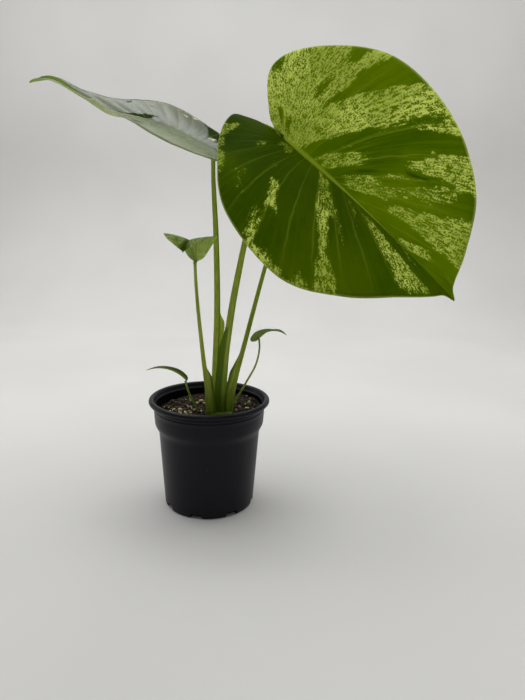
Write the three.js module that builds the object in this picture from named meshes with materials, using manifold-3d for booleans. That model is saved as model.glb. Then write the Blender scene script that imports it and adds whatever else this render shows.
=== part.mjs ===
// A variegated monstera with six leaves, growing in a small black nursery pot of bark and perlite mix.
// Millimetres, +Z up. The origin is on the pot's axis, on the surface that the pot stands on.
// The plant faces -Y, and its largest leaf leans out over the right-hand side of the pot.
import * as THREE from "three";
import { mergeVertices } from "three/addons/utils/BufferGeometryUtils.js";
import Module from "manifold-3d";

const wasm = await Module();
wasm.setup();

// Driving dimensions of the pot
const POT_HEIGHT = 98.8;
const RIM_RADIUS = 54;
const BEAD_RADIUS = 2.45;
const COLLAR_RADIUS = 49.4;
const COLLAR_DROP = 24;
const BODY_TOP_RADIUS = 45.1;
const BODY_FOOT_RADIUS = 41;
const WALL = 1.2;
const FLOOR = 1.4;
const POT_SIDES = 52;
const NOTCH_COUNT = 8;
const NOTCH_TURN_DEG = 34.5;
const NOTCH_WIDTH = 11;
const NOTCH_DEPTH = 5.5;
const NOTCH_HEIGHT = 4.2;

// Driving dimensions of the soil
const CLEARANCE = 0.3;
const SOIL_LEVEL = 87;
const SOIL_SLOPE_X = 0.05;
const SOIL_SLOPE_Y = 0.03;
const SOIL_BUMP = 0.9;
const SOIL_SIDES = 36;
const SOIL_RINGS = 8;
const CHIP_COUNT = 40;
const CHIP_SEED = 7;
const HOLE_CLEARANCE = 0.35;
const HOLE_MOUTH = 8;
const SEEDLING_HOLE_ROOM = 1.1;

// Driving dimensions of the stem base, which the leaf stalks stand on
const CROWN = { x: 9.8, y: -13.2, across: 12.4, deep: 8.2, top: 89.3, foot: 52, taper: 0.55 };
const STEM_SIDES = 20;
const STEM_SHARES = [0, 0.35, 0.7, 0.88, 1];

const SEAT = CROWN.top + CLEARANCE;

// A leaf's half outline is given by its reach from the notch, as a share of the length from
// notch to tip, at these angles from the midrib: first round the basal lobe, last at the tip.
const REACH_ANGLES_DEG = [180, 172, 160, 142, 118, 92, 66, 42, 24, 10, 3.5, 1.2, 0];
const CUP_WIDTH = 0.55;
const TWIST_START = 0.72;
const TWIST_END = 0.9;
const VEIN_START_POWER = 3.6;
const VEIN_START_SPREAD = 0.9;
const VEIN_BOW = 0.14;

const BIG_UPPER_HALF = [0.05, 0.135, 0.28, 0.343, 0.412, 0.538, 0.691, 0.818, 0.899, 0.945, 0.965];
const BIG_LOWER_HALF = [0.145, 0.225, 0.24, 0.272, 0.332, 0.5, 0.686, 0.788, 0.871, 0.934, 0.96];
const LONG_HALF = [0.07, 0.17, 0.26, 0.315, 0.38, 0.46, 0.545, 0.585, 0.66, 0.89, 0.96];
const LONG_FAR_HALF = [0.07, 0.16, 0.235, 0.27, 0.31, 0.38, 0.455, 0.53, 0.645, 0.89, 0.96];
const HEART_HALF = [0.07, 0.17, 0.25, 0.31, 0.36, 0.44, 0.53, 0.65, 0.79, 0.9, 0.95];
const WEDGE_HALF = [0.012, 0.018, 0.024, 0.032, 0.05, 0.2, 0.64, 0.8, 0.89, 0.945, 0.965];
const NARROW_HALF = [0.012, 0.02, 0.03, 0.045, 0.07, 0.11, 0.17, 0.29, 0.5, 0.78, 0.9];

// One entry for each leaf. notch is where the stalk meets the blade. heading, rise and roll
// turn the midrib about Z, lift it, and turn the upper side about it. droop bends the midrib
// down along its length, lobeDroop does so behind the notch, fold lifts both halves into a V,
// at the notch and at the tip, and cup rounds them off again. tipTwist turns the last fifth of
// the blade about the midrib. Angles are in degrees. A blade that isn't as even has swellings,
// each with its size, its middle and its spread along the midrib as shares of the length: arches
// lift the midrib, by a share of the length too, pinches add to the fold of each half, and curls
// to its cup.
const LEAVES = {
  big: {
    notch: [58.2, -25, 315.1], heading: -40, rise: -34.6, roll: -53.2, length: 179.4,
    droop: 20, lobeDroop: 0, fold: [34, 12], cup: 25, tipTwist: 0, halves: [BIG_LOWER_HALF, BIG_UPPER_HALF],
    wave: 1.6, waves: 4.5, thickness: 0.8, rib: 1.5, rows: 28, columns: 8,
    stalkRadii: [3.3, 3.2, 3.1, 2.7, 1.9],
    stalk: [[12, -13.3, SEAT], [12.3, -13, 113.5], [16.6, -14, 155.5], [24.3, -17, 205], [38, -21.5, 265]],
  },
  left: {
    notch: [1.8, 12, 311.1], heading: 176, rise: 26.6, roll: 15.6, length: 169,
    droop: 17.2, lobeDroop: 20, fold: [14, 23], cup: 31, tipTwist: 18, halves: [LONG_FAR_HALF, LONG_HALF],
    arches: [[-0.025, 0.56, 0.17], [0.036, 0.87, 0.1]],
    pinches: [[[6, 0.55, 0.22], [-30, 0.86, 0.1]], [[-31, 0.51, 0.17]]], curls: [[], [[-162, 0.62, 0.22]]],
    wave: 1.2, waves: 3.5, thickness: 0.8, rib: 1.4, rows: 24, columns: 7,
    stalkRadii: [3, 2.9, 2.7, 2.4, 1.8],
    stalk: [[5.3, -10, SEAT], [5.6, -8, 120.1], [6.5, -1, 177.6], [4.6, 6, 240], [1.7, 10.6, 290]],
  },
  rear: {
    notch: [66.4, 38, 280.8], heading: 35, rise: 10, roll: 8, length: 118,
    droop: 42, lobeDroop: 18, fold: [16, 10], cup: 28, tipTwist: 0, halves: [HEART_HALF, HEART_HALF],
    wave: 1.2, waves: 3.5, thickness: 0.8, rib: 1.1, rows: 22, columns: 7,
    stalkRadii: [2.9, 2.5, 2.1, 1.8, 1.4],
    stalk: [[18.8, -12, SEAT], [19.9, -11.6, 104], [28.8, -6, 140.4], [47.1, 16, 213.7], [58.5, 29, 255]],
  },
  small: {
    notch: [-10.5, -14, 219.6], heading: -88, rise: 76, roll: 9, length: 50,
    droop: 131, lobeDroop: 7, fold: [31, 11], cup: 23, tipTwist: 0, halves: [WEDGE_HALF, WEDGE_HALF],
    wave: 0, waves: 0, thickness: 0.7, rib: 0.5, rows: 18, columns: 6,
    stalkRadii: [3, 2.1, 1.7, 1.45, 1.3],
    stalk: [[2.2, -16.8, SEAT], [-0.6, -16.4, 112], [-5.2, -15.7, 150], [-9, -15, 187.8], [-10.4, -14.2, 208]],
  },
  rightSeedling: {
    notch: [43.1, -4, 154.2], heading: -14, rise: 52, roll: 14, length: 29,
    droop: 84, lobeDroop: -40, fold: [18, 10], cup: 15, tipTwist: 0, halves: [HEART_HALF, HEART_HALF],
    wave: 0, waves: 0, thickness: 0.6, rib: 0.3, rows: 12, columns: 4,
    stalkRadii: [1, 0.95, 0.9, 0.85, 0.8],
    stalk: [[19, -2, 76], [20, -2, 88], [32.3, -2, 112.4], [41.2, -3.4, 130.5], [44, -4, 145]],
  },
  leftSeedling: {
    notch: [-20.8, -3, 114.4], heading: 180, rise: 48, roll: 4, length: 39,
    droop: 72, lobeDroop: 0, fold: [34, 22], cup: 0, tipTwist: 0, halves: [NARROW_HALF, NARROW_HALF],
    wave: 0, waves: 0, thickness: 0.6, rib: 0.3, rows: 14, columns: 3,
    stalkRadii: [1.1, 1.05, 1, 0.95, 0.9],
    stalk: [[-10.4, -2, 74], [-10.8, -2, 84], [-12.6, -2.2, 90], [-16.2, -2.5, 97.4], [-20.1, -2.9, 108]],
  },
};
const STALK_SIDES = 9;
const STALK_STEPS = 15;

// Finishes
const finish = (color, roughness) => new THREE.MeshStandardMaterial({ color, roughness, metalness: 0 });
const POT_PLASTIC = finish(0x14161b, 0.4);
const SOIL_MIX = finish(0x3a2b20, 0.95);
const STEM_GREEN = finish(0x6f7d3a, 0.6);
const STALK_GREEN = finish(0x6b7a1e, 0.5);
const LEAF_GREEN = finish(0x5c7a17, 0.42);

const radians = THREE.MathUtils.degToRad;

// A closed geometry without normals or uv, as a solid for cutting and joining
function solidOf(geometry) {
  const bare = geometry.index ? geometry.toNonIndexed() : geometry.clone();
  for (const name of Object.keys(bare.attributes)) {
    if (name !== "position") bare.deleteAttribute(name);
  }
  const merged = mergeVertices(bare, 1e-4);
  return new wasm.Manifold(new wasm.Mesh({
    numProp: 3,
    vertProperties: merged.attributes.position.array,
    triVerts: new Uint32Array(merged.index.array),
  }));
}

function geometryOf(solid) {
  const { numProp, numVert, vertProperties, triVerts } = solid.getMesh();
  const points = new Float32Array(numVert * 3);
  for (let i = 0; i < numVert; i++) {
    points.set(vertProperties.subarray(i * numProp, i * numProp + 3), i * 3);
  }
  return new THREE.BufferGeometry()
    .setAttribute("position", new THREE.BufferAttribute(points, 3))
    .setIndex(new THREE.BufferAttribute(triVerts, 1));
}

function geometryFrom(points, triangles) {
  const flat = new Float32Array(points.flatMap((p) => p.toArray()));
  const geometry = new THREE.BufferGeometry().setAttribute("position", new THREE.BufferAttribute(flat, 3));
  geometry.setIndex(triangles);
  geometry.computeVertexNormals();
  return geometry;
}

// A profile of [radius, height] points turned about Z
function turned(profile, sides) {
  const points = profile.map(([radius, height]) => new THREE.Vector2(radius, height));
  return new THREE.LatheGeometry(points, sides).rotateX(Math.PI / 2);
}

// A closed skin over rings of equally many points, each ring closed by a fan at both ends
function loft(rings) {
  const sides = rings[0].length;
  const points = rings.flat();
  const triangles = [];
  for (let ring = 0; ring + 1 < rings.length; ring++) {
    for (let side = 0; side < sides; side++) {
      const next = (side + 1) % sides;
      const [a, b] = [ring * sides + side, ring * sides + next];
      triangles.push(a, b, b + sides, a, b + sides, a + sides);
    }
  }
  const middle = (ring) => ring.reduce((sum, p) => sum.add(p), new THREE.Vector3()).divideScalar(sides);
  const last = (rings.length - 1) * sides;
  points.push(middle(rings[0]), middle(rings.at(-1)));
  for (let side = 0; side < sides; side++) {
    const next = (side + 1) % sides;
    triangles.push(points.length - 2, next, side);
    triangles.push(points.length - 1, last + side, last + next);
  }
  return geometryFrom(points, triangles);
}

// The pot

function potGeometry() {
  const collarFoot = POT_HEIGHT - COLLAR_DROP;
  const beadRadius = RIM_RADIUS - BEAD_RADIUS;
  const beadHeight = POT_HEIGHT - BEAD_RADIUS;
  const outside = [
    [0, 0],
    [BODY_FOOT_RADIUS - 1.6, 0],
    [BODY_FOOT_RADIUS - 0.3, 1.3],
    [BODY_FOOT_RADIUS, 5],
    [BODY_TOP_RADIUS, collarFoot - 9],
    [BODY_TOP_RADIUS + 0.8, collarFoot - 4.5],
    [COLLAR_RADIUS - 1.5, collarFoot - 0.6],
    [COLLAR_RADIUS - 0.6, collarFoot + 2],
    [COLLAR_RADIUS, collarFoot + 11],
    [COLLAR_RADIUS + 0.15, beadHeight - BEAD_RADIUS + 0.4],
  ];
  const bead = [];
  for (const degrees of [-60, -30, 0, 30, 60, 90, 120, 150, 180]) {
    const turn = radians(degrees);
    bead.push([beadRadius + BEAD_RADIUS * Math.cos(turn), beadHeight + BEAD_RADIUS * Math.sin(turn)]);
  }
  const inside = [
    [COLLAR_RADIUS - WALL, beadHeight - BEAD_RADIUS],
    [COLLAR_RADIUS - WALL, collarFoot + 11],
    [COLLAR_RADIUS - WALL - 0.7, collarFoot + 2.6],
    [BODY_TOP_RADIUS - WALL, collarFoot - 4.5],
    [BODY_TOP_RADIUS - WALL, collarFoot - 9],
    [BODY_FOOT_RADIUS - WALL, 5],
    [BODY_FOOT_RADIUS - WALL - 0.6, FLOOR],
    [0, FLOOR],
  ];
  let pot = solidOf(turned([...outside, ...bead, ...inside], POT_SIDES));
  for (let i = 0; i < NOTCH_COUNT; i++) {
    const block = new THREE.BoxGeometry(NOTCH_DEPTH * 2, NOTCH_WIDTH, NOTCH_HEIGHT * 2);
    const turn = radians(NOTCH_TURN_DEG + (360 / NOTCH_COUNT) * i) - Math.PI / 2;
    block.translate(BODY_FOOT_RADIUS, 0, 0).rotateZ(turn);
    pot = pot.subtract(solidOf(block));
  }
  return geometryOf(pot);
}

// The soil, with chips of bark and perlite joined to its top

function soilLevel(x, y) {
  const waves = Math.sin(0.31 * x + 1.3) * Math.cos(0.27 * y - 0.4) + 0.6 * Math.sin(0.53 * x - 0.47 * y);
  return SOIL_LEVEL + SOIL_SLOPE_X * x + SOIL_SLOPE_Y * y + SOIL_BUMP * waves;
}

function seededRandom(seed) {
  let state = seed;
  return () => {
    state = (state * 16807) % 2147483647;
    return state / 2147483647;
  };
}

function soilGeometry(standing) {
  const wall = BODY_TOP_RADIUS - WALL - CLEARANCE;
  const collarWall = COLLAR_RADIUS - WALL - CLEARANCE;
  const collarFoot = POT_HEIGHT - COLLAR_DROP;
  const profile = [
    [0, FLOOR + CLEARANCE],
    [BODY_FOOT_RADIUS - NOTCH_DEPTH - 1, FLOOR + CLEARANCE],
    [BODY_FOOT_RADIUS - WALL - CLEARANCE - 1, 5.5],
    [wall - 0.6, collarFoot - 9],
    [wall - 0.1, collarFoot - 4.5],
    [collarWall - 0.9, collarFoot + 3.4],
  ];
  for (let ring = SOIL_RINGS; ring >= 0; ring--) profile.push([(collarWall - 0.4) * (ring / SOIL_RINGS), SOIL_LEVEL]);
  const ground = turned(profile, SOIL_SIDES);
  const spots = ground.attributes.position;
  for (let i = 0; i < spots.count; i++) {
    const onTop = Math.abs(spots.getZ(i) - SOIL_LEVEL) < 0.01;
    if (onTop) spots.setZ(i, soilLevel(spots.getX(i), spots.getY(i)));
  }
  let soil = solidOf(ground);
  const random = seededRandom(CHIP_SEED);
  for (let i = 0; i < CHIP_COUNT; i++) {
    const reach = (collarWall - 4) * Math.sqrt(random());
    const turn = 2 * Math.PI * random();
    const [x, y] = [reach * Math.cos(turn), reach * Math.sin(turn)];
    const size = 1.1 + 1.3 * random();
    const chip = new THREE.OctahedronGeometry(size, 0);
    chip.scale(1, 0.6 + 0.4 * random(), 0.7).rotateX(random()).rotateZ(2 * Math.PI * random());
    const byStem = standing.some((s) => Math.hypot((x - s.x) / (s.across + 3), (y - s.y) / (s.deep + 3)) < 1);
    if (!byStem) soil = soil.add(solidOf(chip.translate(x, y, soilLevel(x, y) + 0.1)));
  }
  for (const s of standing) soil = soil.subtract(solidOf(stemGeometry(s, HOLE_CLEARANCE)));
  return geometryOf(soil);
}

// The stem base: an oval stub that narrows downwards in the soil. room makes it the plain
// hole round the stub instead, which is that much wider and open at the top.

function stemGeometry(stem, room = 0) {
  const rings = STEM_SHARES.map((share) => {
    const wide = stem.taper + (1 - stem.taper) * Math.sin((share * Math.PI) / 2);
    const height = stem.foot + (stem.top - stem.foot) * share - (share === 0 ? room : 0);
    return ovalRing(stem, stem.across * wide + room, stem.deep * wide + room, height);
  });
  if (room > 0) rings.push(ovalRing(stem, stem.across + room, stem.deep + room, stem.top + HOLE_MOUTH));
  return loft(rings);
}

function ovalRing({ x, y }, across, deep, height) {
  const ring = [];
  for (let side = 0; side < STEM_SIDES; side++) {
    const turn = (2 * Math.PI * side) / STEM_SIDES;
    ring.push(new THREE.Vector3(x + across * Math.cos(turn), y + deep * Math.sin(turn), height));
  }
  return ring;
}

// Leaves

function leafFrame({ heading, rise, roll }) {
  const [turn, lift, twist] = [heading, rise, roll].map(radians);
  const flat = new THREE.Vector3(Math.cos(turn), Math.sin(turn), 0);
  const along = flat.clone().multiplyScalar(Math.cos(lift)).setZ(Math.sin(lift));
  const up = flat.clone().multiplyScalar(-Math.sin(lift)).setZ(Math.cos(lift));
  const side = up.clone().cross(along);
  const upper = up.multiplyScalar(Math.cos(twist)).addScaledVector(side, Math.sin(twist));
  return { along, across: upper.clone().cross(along), upper };
}

function halfOutline(reaches) {
  const shares = [0, ...reaches, 1];
  return new THREE.SplineCurve(shares.map((reach, i) => {
    const turn = radians(REACH_ANGLES_DEG[i]);
    return new THREE.Vector2(reach * Math.cos(turn), reach * Math.sin(turn));
  }));
}

// A point of the flat blade, in leaf lengths: row runs from the notch round the outline to
// the tip, column from the left margin at -1 over the midrib at 0 to the right margin at 1.
function flatPoint(outlines, row, column) {
  const edge = outlines[column < 0 ? 0 : 1].getPoint(row);
  const start = row ** VEIN_START_POWER * (1 + VEIN_START_SPREAD * (1 - row));
  const share = Math.abs(column);
  const bow = VEIN_BOW * share * (1 - share) * Math.abs(edge.y);
  return [start + (edge.x - start) * share - bow, Math.sign(column) * edge.y * share];
}

// How far the swellings stand at a place along the midrib
function swelling(swellings = [], place) {
  const heights = swellings.map(([size, middle, spread]) => size * Math.exp(-(((place - middle) / spread) ** 2)));
  return heights.reduce((sum, height) => sum + height, 0);
}

// The flat blade's point bent into its hanging shape
function bladePoint(leaf, outlines, row, column) {
  const { along, across, upper } = leafFrame(leaf);
  const [a, b] = flatPoint(outlines, row, column);
  const half = column < 0 ? 0 : 1;
  const bend = radians(a < 0 ? leaf.lobeDroop : leaf.droop) || 1e-6;
  const evenFold = leaf.fold[0] + (leaf.fold[1] - leaf.fold[0]) * Math.max(-0.3, Math.min(1, a));
  const fold = radians(evenFold + swelling(leaf.pinches?.[half], a));
  const cup = radians(leaf.cup + swelling(leaf.curls?.[half], a)) || 1e-6;
  const width = CUP_WIDTH / cup;
  const left = fold - (cup * Math.abs(b)) / CUP_WIDTH;
  const ripple = leaf.wave * Math.sin(2 * Math.PI * leaf.waves * row + (column < 0 ? 1.1 : 0));
  const lift = width * (Math.cos(left) - Math.cos(fold)) + (ripple * Math.abs(column) ** 3) / leaf.length;
  const reach = Math.sign(b) * width * (Math.sin(fold) - Math.sin(left));
  const twist = radians(leaf.tipTwist) * THREE.MathUtils.smoothstep(a, TWIST_START, TWIST_END);
  const y = reach * Math.cos(twist) + lift * Math.sin(twist);
  const height = lift * Math.cos(twist) - reach * Math.sin(twist) + swelling(leaf.arches, a);
  const x = Math.sin(bend * a) / bend + height * Math.sin(bend * a);
  const z = -(1 - Math.cos(bend * a)) / bend + height * Math.cos(bend * a);
  return new THREE.Vector3(...leaf.notch)
    .addScaledVector(along, x * leaf.length)
    .addScaledVector(across, y * leaf.length)
    .addScaledVector(upper, z * leaf.length);
}

// Both faces of a blade are the same grid of points, moved apart along its normals, and the
// margin joins them. The middle column of the lower face stands out as the midrib.
function bladeGeometry(leaf) {
  const outlines = leaf.halves.map(halfOutline);
  const columns = [0, 0.035];
  for (let i = 1; i < leaf.columns; i++) columns.push(0.035 + (0.965 * i) / (leaf.columns - 1));
  const across = [...columns.slice(1).reverse().map((c) => -c), ...columns];
  const width = across.length;
  const centre = columns.length - 1;
  const grid = [bladePoint(leaf, outlines, 0, 0)];
  for (let row = 1; row < leaf.rows; row++) {
    for (const column of across) grid.push(bladePoint(leaf, outlines, row / leaf.rows, column));
  }
  grid.push(bladePoint(leaf, outlines, 1, 0));
  const tip = grid.length - 1;
  const at = (row, column) => (row === 0 ? 0 : row === leaf.rows ? tip : 1 + (row - 1) * width + column);
  const face = [];
  const rim = [];
  for (let row = 0; row < leaf.rows; row++) {
    for (let column = 0; column + 1 < width; column++) {
      const [a, b, c, d] = [at(row, column), at(row, column + 1), at(row + 1, column + 1), at(row + 1, column)];
      const rising = column < centre;
      const pair = rising ? [[a, b, d], [b, c, d]] : [[a, b, c], [a, c, d]];
      for (const t of pair) if (new Set(t).size === 3) face.push(t);
    }
    rim.push([at(row, 0), at(row + 1, 0)], [at(row + 1, width - 1), at(row, width - 1)]);
  }
  const facing = geometryFrom(grid, face.flat().reverse()).attributes.normal;
  const upper = [];
  const lower = [];
  grid.forEach((p, i) => {
    const normal = new THREE.Vector3().fromBufferAttribute(facing, i);
    const row = i === 0 ? 0 : i === tip ? leaf.rows : 1 + Math.floor((i - 1) / width);
    const onMidrib = i > 0 && i < tip && (i - 1) % width === centre;
    const rib = onMidrib ? leaf.rib * (1 - row / leaf.rows) : 0;
    upper.push(p.clone().addScaledVector(normal, leaf.thickness / 2));
    lower.push(p.clone().addScaledVector(normal, -leaf.thickness / 2 - rib));
  });
  const below = grid.length;
  const triangles = [];
  for (const [a, b, c] of face) {
    triangles.push(c, b, a);
    triangles.push(a + below, b + below, c + below);
  }
  for (const [a, b] of rim) triangles.push(b, a, a + below, b, a + below, b + below);
  return geometryFrom([...upper, ...lower], triangles);
}

// A stalk is a tapering tube along a curve, and ends just under the blade's notch
function stalkGeometry(leaf) {
  const { upper } = leafFrame(leaf);
  const route = leaf.stalk.map((p) => new THREE.Vector3(...p));
  const notch = new THREE.Vector3(...leaf.notch);
  const heading = notch.clone().sub(route.at(-1)).normalize();
  const topRadius = leaf.stalkRadii.at(-1);
  const lean = Math.sqrt(1 - heading.dot(upper) ** 2);
  const under = leaf.thickness / 2 + CLEARANCE + topRadius * lean + 0.25;
  route.push(notch.clone().addScaledVector(upper, -under).addScaledVector(heading, -0.4));
  const curve = new THREE.CatmullRomCurve3(route, false, "centripetal");
  const rings = [];
  for (let step = 0; step <= STALK_STEPS; step++) {
    const share = step / STALK_STEPS;
    const middle = curve.getPoint(share);
    const ahead = step === 0 ? new THREE.Vector3(0, 0, 1) : curve.getTangent(share);
    const right = new THREE.Vector3(1, 0, 0).addScaledVector(ahead, -ahead.x).normalize();
    const back = ahead.clone().cross(right);
    const place = Math.min(share * (leaf.stalkRadii.length), leaf.stalkRadii.length - 1);
    const from = Math.min(Math.floor(place), leaf.stalkRadii.length - 2);
    const radius = THREE.MathUtils.lerp(leaf.stalkRadii[from], leaf.stalkRadii[from + 1], place - from);
    const ring = [];
    for (let side = 0; side < STALK_SIDES; side++) {
      const turn = (2 * Math.PI * side) / STALK_SIDES;
      ring.push(middle.clone()
        .addScaledVector(right, radius * Math.cos(turn))
        .addScaledVector(back, radius * Math.sin(turn)));
    }
    rings.push(ring);
  }
  return loft(rings);
}

// The assembly

const plant = new THREE.Group();

function place(name, geometry, material) {
  const mesh = new THREE.Mesh(geometry, material);
  mesh.name = name;
  plant.add(mesh);
}

const seedlingHole = ({ stalk, stalkRadii }) => {
  const radius = stalkRadii[0] + SEEDLING_HOLE_ROOM;
  return { x: stalk[0][0], y: stalk[0][1], across: radius, deep: radius, top: stalk[1][2] + 3, foot: stalk[0][2], taper: 1 };
};
const standing = [CROWN, seedlingHole(LEAVES.rightSeedling), seedlingHole(LEAVES.leftSeedling)];

place("pot", potGeometry(), POT_PLASTIC);
place("soil", soilGeometry(standing), SOIL_MIX);
place("stem_base", stemGeometry(CROWN), STEM_GREEN);
const NODE_NAMES = {
  big: "big_leaf", left: "left_leaf", rear: "rear_leaf", small: "small_leaf",
  rightSeedling: "right_young_leaf", leftSeedling: "left_young_leaf",
};
for (const [key, leaf] of Object.entries(LEAVES)) {
  place(NODE_NAMES[key] + "_stalk", stalkGeometry(leaf), STALK_GREEN);
  place(NODE_NAMES[key] + "_blade", bladeGeometry(leaf), LEAF_GREEN);
}

export default plant;
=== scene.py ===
# Looks of a variegated monstera in its nursery pot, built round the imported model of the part.
# Lengths are millimetres until a mesh is finished, and every finished mesh is in metres.
import math
import random

import bmesh
import bpy
from mathutils import Matrix, Vector, noise


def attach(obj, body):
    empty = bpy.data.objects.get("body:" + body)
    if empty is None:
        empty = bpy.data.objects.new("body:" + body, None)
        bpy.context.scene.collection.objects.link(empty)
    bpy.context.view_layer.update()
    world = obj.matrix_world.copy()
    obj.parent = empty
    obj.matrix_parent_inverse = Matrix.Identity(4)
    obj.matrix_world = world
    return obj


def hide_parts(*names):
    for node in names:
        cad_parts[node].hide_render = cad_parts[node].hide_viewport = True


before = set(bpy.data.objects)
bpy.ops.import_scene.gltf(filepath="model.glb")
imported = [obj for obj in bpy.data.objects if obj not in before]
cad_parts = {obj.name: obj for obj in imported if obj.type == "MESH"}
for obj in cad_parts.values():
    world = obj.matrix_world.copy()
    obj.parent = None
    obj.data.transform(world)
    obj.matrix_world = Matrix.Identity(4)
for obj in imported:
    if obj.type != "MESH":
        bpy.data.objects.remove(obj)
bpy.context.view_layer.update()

MM = 0.001
TINY = 1e-6
# Height of the crown's top, on which the main stalks stand
SEAT = 89.6


# Plain helpers

def smooth(value, low, high):
    """0 up to low and 1 from high on, with a soft rise between them."""
    share = min(1.0, max(0.0, (value - low) / (high - low)))
    return share * share * (3 - 2 * share)


def between(value, low, high, soft):
    """1 from low to high and 0 outside, with soft ends."""
    return smooth(value, low - soft, low + soft) * (1 - smooth(value, high - soft, high + soft))


def bump(value, middle, width):
    """A bell of height 1 about the middle."""
    return math.exp(-(((value - middle) / width) ** 2))


def finish_piece(name, bm, material, slot, *nodes):
    """A smooth object in metres, which stands for the CAD nodes and takes the material. The slot is not
    used.
    """
    mesh = bpy.data.meshes.new(name)
    bm.to_mesh(mesh)
    bm.free()
    mesh.transform(Matrix.Scale(MM, 4))
    mesh.materials.append(material)
    for polygon in mesh.polygons:
        polygon.use_smooth = True
    piece = bpy.data.objects.new(name, mesh)
    bpy.context.scene.collection.objects.link(piece)
    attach(piece, "root")
    if nodes:
        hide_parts(*nodes)
    return piece


def skin(rows, columns, place, painted_shade=None):
    """A grid whose corner at (u, v), both from 0 to 1, is put at place(u, v).

    Where painted shade is given, each corner keeps its amount for its height and its turn round the
    piece.
    """
    bm = bmesh.new()
    bmesh.ops.create_grid(bm, x_segments=columns, y_segments=rows, size=0.5)
    layer = bm.verts.layers.float.new("painted_shade")
    for vert in bm.verts:
        u, v = vert.co.y + 0.5, vert.co.x + 0.5
        vert.co = place(u, v)
        vert[layer] = painted_shade(vert.co.z, math.tau * v) if painted_shade else 0.0
    return bm


def close_tube(bm):
    """Welds a rolled-up skin's seam, fills its two ends and turns its faces outwards."""
    bmesh.ops.remove_doubles(bm, verts=bm.verts, dist=1e-4)
    bmesh.ops.holes_fill(bm, edges=bm.edges)
    bmesh.ops.recalc_face_normals(bm, faces=bm.faces)
    return bm


# Shader helpers

def add(tree, kind, inputs=(), **settings):
    """A shader node with its settings, whose sockets are linked or given plain values."""
    made = tree.nodes.new("ShaderNode" + kind)
    for name, value in settings.items():
        setattr(made, name, value)
    for key, value in dict(inputs).items():
        if isinstance(value, bpy.types.NodeSocket):
            tree.links.new(value, made.inputs[key])
        else:
            made.inputs[key].default_value = value
    return made


def maths(tree, operation, first, second=0.0):
    """The result of a sum on values or sockets."""
    return add(tree, "Math", {0: first, 1: second}, operation=operation).outputs[0]


def ramp(tree, value, low, high, to_low=0.0, to_high=1.0):
    """The value carried smoothly from low..high to to_low..to_high."""
    made = add(tree, "MapRange", {0: value, 1: low, 2: high, 3: to_low, 4: to_high})
    made.interpolation_type = "SMOOTHSTEP"
    return made.outputs[0]


def blend(tree, share, first, second):
    """The first colour where the share is 0 and the second where it is 1."""
    made = add(tree, "Mix", data_type="RGBA")
    for socket, value in ((made.inputs[0], share), (made.inputs[6], first), (made.inputs[7], second)):
        if isinstance(value, bpy.types.NodeSocket):
            tree.links.new(value, socket)
        else:
            socket.default_value = value
    return made.outputs[2]


def grain(tree, place, scale, detail=3.0, stretch=(1, 1, 1), distortion=0.0):
    """Noise from 0 to 1 at a place, at so many blobs a unit, stretched along its axes."""
    moved = add(tree, "Mapping", {"Vector": place, "Scale": stretch})
    inputs = {"Vector": moved.outputs[0], "Scale": scale, "Detail": detail, "Distortion": distortion}
    return add(tree, "TexNoise", inputs).outputs[0]


def effect(name, inputs, outputs):
    """An empty shader group with named float or vector inputs, and float, colour or vector outputs."""
    group = bpy.data.node_groups.new(name, "ShaderNodeTree")
    kinds = {"value": "NodeSocketFloat", "colour": "NodeSocketColor", "vector": "NodeSocketVector"}
    for direction, sockets in (("INPUT", inputs), ("OUTPUT", outputs)):
        for label, kind in sockets.items():
            group.interface.new_socket(label, in_out=direction, socket_type=kinds[kind])
    return group, group.nodes.new("NodeGroupInput"), group.nodes.new("NodeGroupOutput")


def use(tree, group, inputs=()):
    """The outputs of a shader group placed in a tree with its own values."""
    made = tree.nodes.new("ShaderNodeGroup")
    made.node_tree = group
    for key, value in dict(inputs).items():
        if isinstance(value, bpy.types.NodeSocket):
            tree.links.new(value, made.inputs[key])
        else:
            made.inputs[key].default_value = value
    return made.outputs


def colour(red, green, blue):
    """A display colour from 0 to 255 as the shader's linear one."""
    def linear(value):
        share = value / 255
        return share / 12.92 if share <= 0.04045 else ((share + 0.055) / 1.055) ** 2.4
    return (linear(red), linear(green), linear(blue), 1.0)


def dimmed(tone, factor):
    """A shader colour that is so many times as bright."""
    return tuple(factor * part for part in tone[:3]) + (1,)


def attribute(tree, name):
    """A value that a piece's corners carry."""
    return add(tree, "Attribute", attribute_name=name, attribute_type="GEOMETRY")


def new_material(name):
    """An empty material with its tree and output."""
    material = bpy.data.materials.new(name)
    material.use_nodes = True
    tree = material.node_tree
    tree.nodes.clear()
    return material, tree, add(tree, "OutputMaterial")


def object_place(tree):
    return add(tree, "TexCoord").outputs["Object"]


def relief(tree, height, distance, strength=1.0):
    """A normal that follows the height, whose full swing is the distance in metres."""
    return add(tree, "Bump", {"Height": height, "Distance": distance, "Strength": strength}).outputs[0]


# Shader groups shared by the leaves

VEINS = 24
FINE_VEINS = 96
VEIN_WANDER = 0.008
# Noise level that a speckle has to pass, on a plain blade and on a solid pale one
PLAIN_LEVEL = 0.68
SOLID_LEVEL = 0.36


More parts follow.
